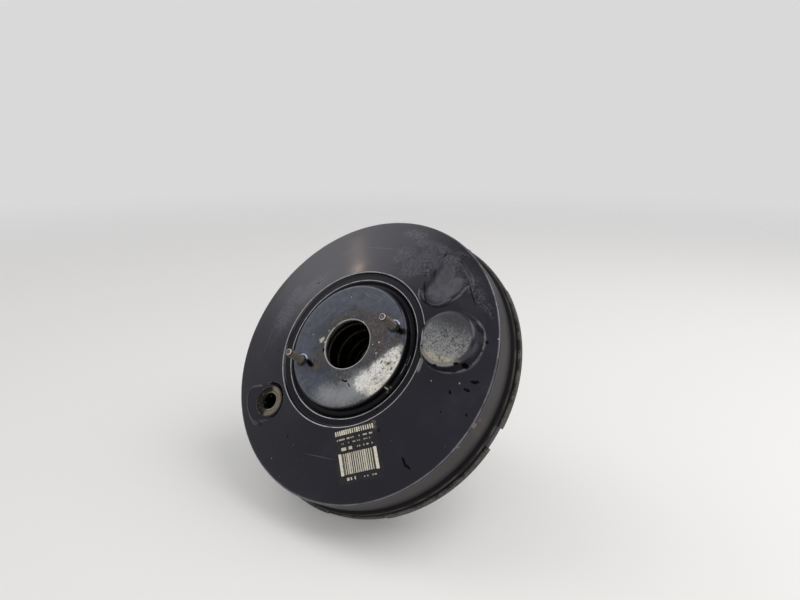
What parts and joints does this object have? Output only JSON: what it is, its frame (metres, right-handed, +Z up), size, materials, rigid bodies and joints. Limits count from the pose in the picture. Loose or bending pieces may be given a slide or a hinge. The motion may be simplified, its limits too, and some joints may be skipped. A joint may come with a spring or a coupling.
{
  "type": "brake booster",
  "caption": "Round pressed-steel vacuum brake booster with studs for the master cylinder, a vacuum port grommet and a sliding power piston with push rod and clevis.",
  "frame": {"origin": "centre of the firewall gasket's outer face, on the booster's axis", "axes": "-Y along the axis towards the master cylinder, +Y towards the pedal, +Z up as mounted, X along the line of the master cylinder studs"},
  "size_m": [0.2916, 0.2588, 0.2916],
  "materials": {
    "shell_black": "satin black paint, worn",
    "rim_steel": "worn black paint over steel",
    "zinc_steel": "zinc plated",
    "spring_steel": "oiled",
    "black_rubber": "matte",
    "beige_rubber": "matte",
    "cream_plastic": "matte",
    "black_plastic": "matte",
    "gasket_fibre": "pressed fibre",
    "filter_felt": "felt",
    "label_film": null
  },
  "bodies": {
    "housing": {"front_shell": "shell_black", "rear_shell": "rim_steel", "stud_plate": "zinc_steel", "master_cylinder_studs": "zinc_steel", "rear_stud_plate": "zinc_steel", "firewall_studs": "zinc_steel", "firewall_gasket": "gasket_fibre", "vacuum_grommet": "beige_rubber", "rear_seal": "black_rubber", "guide_bearing": "cream_plastic", "seal_retainer": "zinc_steel", "identification_label": "label_film", "dust_boot": "black_rubber", "return_spring": "spring_steel", "diaphragm": "black_rubber"},
    "power_piston": {"valve_body": "black_plastic", "diaphragm_plate": "zinc_steel", "diaphragm_retainer": "cream_plastic", "reaction_disc": "black_rubber", "output_rod": "zinc_steel", "output_rod_tip": "zinc_steel", "rod_retainer": "zinc_steel", "poppet": "black_rubber", "poppet_retainer": "zinc_steel", "poppet_spring": "spring_steel", "air_filter": "filter_felt", "silencer": "filter_felt", "valve_return_spring": "spring_steel"},
    "valve_plunger": {"valve_plunger": "zinc_steel", "stop_key": "black_plastic"},
    "input_rod": {"input_rod": "zinc_steel", "rod_spring_seat": "zinc_steel", "jam_nut": "zinc_steel", "clevis": "zinc_steel"}
  },
  "joints": [
    {"name": "piston_travel", "type": "slide", "parent": "housing", "child": "power_piston", "axis": [0, -1, 0], "range_m": [0, 0.034], "stiffness_N_per_m": 4000, "springref_m": -0.04, "deforming": ["return_spring", "dust_boot", "diaphragm"]},
    {"name": "plunger_travel", "type": "slide", "parent": "power_piston", "child": "valve_plunger", "axis": [0, -1, 0], "range_m": [0, 0.0015], "stiffness_N_per_m": 8000, "springref_m": -0.004, "deforming": ["valve_return_spring"]},
    {"name": "input_rod_tilt", "type": "hinge", "parent": "valve_plunger", "child": "input_rod", "pos_m": [0, 0.007, 0], "axis": [1, 0, 0], "range_deg": [-3, 3], "stiffness_Nm_per_rad": 4}
  ]
}
